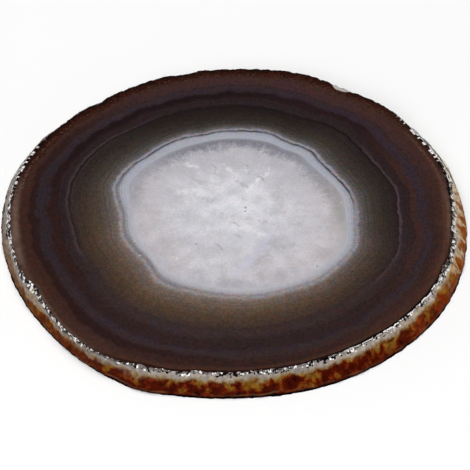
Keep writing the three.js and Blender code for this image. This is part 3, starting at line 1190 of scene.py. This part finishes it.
def keep_sides_pale(stone, depth, colour):
    for at, half_width, strength, upper, lower in PALE_PATCHES:
        pale = stone.blend(stone.rise(depth, 0.1, 0.9), upper, lower)
        colour = stone.over(colour, pale, facing(stone, at, half_width), strength)
    return colour


def add_grain(stone, depth, colour):
    rough = along_rim(stone, 0.8, 0.7)
    grain = stone.patchy(1.0, 0.32, 0.68, -1.0, 1.0, detail=4, where=rough, seed=22)
    strength = stone.rise(depth, 0.2, 0.45, 0.25, 0.38)
    return stone.toned(colour, stone.plus(stone.times(grain, strength), 1.0))


def add_splinter_glints_and_shade(stone, depth, colour):
    """Broken crystal along the top: black splinters of painted shade and white ones of crystal with
    painted glint, fewer and fewer downwards.
    """
    number = splinters(stone)
    black = stone.rise(stone.plus(number, stone.rise(depth, 0.2, 0.02, 0.0, -0.5)), 0.0, -0.03)
    white = stone.rise(stone.plus(number, stone.rise(depth, 0.2, 0.05, 0.0, 0.15)), 1.0, 1.03)
    return stone.over(stone.over(colour, SHADE_SPECK_BLACK, black), CRYSTAL_AND_GLINT_WHITE, white)


def add_chain(stone, depth, colour):
    """The chain of white pearls with painted glint and black gaps of painted shade under the polished
    edge, whose lower side is uneven.
    """
    uneven = stone.patchy(2.5, 0.4, 0.6, 0.0, -0.1, seed=31)
    shallow = stone.rise(strongest(stone, LONG_CHAIN_SIDES), 0.0, 1.0, 1.0, 0.6)
    reach = stone.plus(stone.times(depth, shallow), uneven)
    chain = stone.times(within(stone, reach, -0.12, -0.1, 0.13, 0.17), strongest(stone, CHAIN_SIDES))
    pearl, gap = glinting_pearls_and_shaded_gaps(stone)
    return stone.over(stone.over(colour, SHADE_SPECK_BLACK, chain, gap), CRYSTAL_AND_GLINT_WHITE, chain, pearl)


def add_edge_highlight(stone, depth, colour):
    """A painted highlight: a thin white line of glint right under the polished edge at the right front,
    broken in a few places.
    """
    line = within(stone, depth, 0.0, 0.01, 0.03, 0.05)
    unbroken = stone.rise(splinters(stone), 0.1, 0.2)
    return stone.over(colour, CRYSTAL_AND_GLINT_WHITE, line, unbroken, facing(stone, *EDGE_HIGHLIGHT_SIDE))


def darken_back(stone, depth, colour):
    """At the back the dark crust comes up to the polished edge, and only the chip is pale."""
    colour = stone.over(colour, BACK_CRUST, stone.rise(depth, 0.45, 0.25), facing(stone, *BACK_SIDE))
    in_chip = facing(stone, CHIP_AT, CHIP_HALF_WIDTH)
    return stone.over(colour, CHIP_COLOUR, stone.rise(depth, 0.36, 0.24), in_chip)


def add_foot(stone, depth, colour):
    skin = within(stone, depth, 0.78, 0.83, 0.86, 0.9)
    colour = stone.over(colour, FOOT_SKIN, skin, stone.patchy(2.5, 0.4, 0.65, 0.0, 0.35, seed=26))
    # A dark line of painted shade where the foot meets the table.
    colour = stone.over(colour, FOOT_SHADE, stone.rise(depth, 0.88, 0.94))
    return add_bands(stone, stone.plus(depth, strongest(stone, BULGES)), colour, BULGE_SHADE_LINES)


def rind():
    stone = Recipe("rind")
    depth, wavering = rind_depth(stone)
    colour = stone.ramp(wavering, RIND)
    colour = add_stains(stone, wavering, colour)
    colour = keep_sides_pale(stone, depth, colour)
    colour = colour_right(stone, wavering, colour)
    colour = add_bands(stone, depth, colour, PALE_BANDS)
    patchy = stone.patchy(1.4, 0.42, 0.58, 0.35, 0.85, seed=34)
    colour = add_bands(stone, wavering, colour, LEFT_BANDS, patchy)
    colour = add_grain(stone, wavering, colour)
    for add_coat in (add_splinter_glints_and_shade, add_chain, add_edge_highlight, darken_back, add_foot):
        colour = add_coat(stone, depth, colour)
    roughness = stone.rise(wavering, 0.1, 0.6, *RIND_ROUGHNESS)
    return stone.finished(colour, roughness, AGATE_IOR, RIND_SHINE)


slab.data.materials.append(rind())
print("slot 1:", slab.data.materials[1].name)

# %% [markdown]
# Nobody sees the underside of a coaster, so the picture doesn't show it. On real ones it is the same
# stone as the face, sawn flat and ground, but not polished: the same layers, a little paler and dull.

# %% The sawn underside
SAWN_ROUGHNESS = (0.47, 0.63)  # in the scratches and between them
ALONG_SCRATCHES = (0.05, 1, 1)  # stretches the noise to scratches from left to right
DUST = "#8d8580"
DUST_SHARE = 0.18


def sawn_base():
    stone = Recipe("sawn_base")
    # The face's colour brings its painted glow, painted shade, painted glints and shaded edge specks
    # along to the underside.
    dusty = stone.over(face_colour(stone), DUST, DUST_SHARE)
    stretched = stone.vector("MULTIPLY", stone.place, ALONG_SCRATCHES)
    scratches = stone.patchy(0.5, 0.3, 0.7, *SAWN_ROUGHNESS, where=stretched, seed=30)
    return stone.finished(dusty, scratches, AGATE_IOR)


slab.data.materials.append(sawn_base())
print("slot 2:", slab.data.materials[2].name)

# %% [markdown]
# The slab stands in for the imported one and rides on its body, so it is the part as everybody sees it.

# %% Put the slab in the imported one's place
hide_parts("agate_slice")
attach(slab, "root")

# %% [markdown]
# Polished dark stone is a mirror, so what matters most is what the camera sees reflected. From 45
# degrees above, the face mirrors the part of the studio that is 45 degrees up at the back. The sky is
# kept dim there and bright near the horizon. One large soft light hangs overhead, and mirrors don't
# show it, or it would wash out the face for a camera straight above. A smaller light behind the
# camera brings out the rim.

# %% The studio
FLOOR_SIZE = 4000
FLOOR_GAP = 0.02  # the floor lies this far under the slab, so that the two flat faces don't coincide
FLOOR_COLOURS = ("#f9f9f9", "#fcfcfc")
FLOOR_ROUGHNESS = 0.9
FLOOR_SHINE = 0.1
SKY = {  # two heights, from 0 at the horizon to 1 overhead, and how bright the sky is at them
    "From Min": 0.15, "From Max": 0.5, "To Min": 0.9, "To Max": 0.05,
}
OVERHEAD = {"at": (0, 60, 1100), "size": 900, "watts": 10.2, "mirrored": False}
KEY = {"at": (-260, -620, 560), "size": 420, "watts": 2.6, "mirrored": True}


def add_floor():
    half = FLOOR_SIZE / 2
    corners = [(-half, -half), (half, -half), (half, half), (-half, half)]
    mesh = bpy.data.meshes.new("floor")
    mesh.from_pydata([(x * MM, y * MM, -FLOOR_GAP * MM) for x, y in corners], [], [(0, 1, 2, 3)])
    floor = bpy.data.objects.new("floor", mesh)
    bpy.context.collection.objects.link(floor)
    paper = Recipe("white_paper")
    colour = paper.blend(paper.cloud(40.0, seed=40), *FLOOR_COLOURS)
    mesh.materials.append(paper.finished(colour, FLOOR_ROUGHNESS, shine=FLOOR_SHINE))


def add_soft_light(name, at, size, watts, mirrored):
    light_data = bpy.data.lights.new(name, "AREA")
    light_data.size = size * MM
    light_data.energy = watts
    light = bpy.data.objects.new(name, light_data)
    light.location = Vector(at) * MM
    light.rotation_euler = (-light.location).to_track_quat("-Z", "Y").to_euler()
    light.visible_glossy = mirrored
    bpy.context.collection.objects.link(light)


def add_sky():
    world = bpy.data.worlds.new("studio_sky")
    world.use_nodes = True
    nodes = world.node_tree.nodes
    links = world.node_tree.links
    seen = nodes.new("ShaderNodeTexCoord")
    height = nodes.new("ShaderNodeSeparateXYZ")
    glow = nodes.new("ShaderNodeMapRange")
    glow.interpolation_type = "SMOOTHSTEP"
    for name, value in SKY.items():
        glow.inputs[name].default_value = value
    links.new(seen.outputs["Generated"], height.inputs[0])
    links.new(height.outputs["Z"], glow.inputs["Value"])
    links.new(glow.outputs[0], nodes["Background"].inputs["Strength"])
    nodes["Background"].inputs["Color"].default_value = (1, 1, 1, 1)
    bpy.context.scene.world = world


add_floor()
add_soft_light("overhead_light", **OVERHEAD)
add_soft_light("key_light", **KEY)
add_sky()
bpy.context.scene.view_settings.view_transform = "Standard"
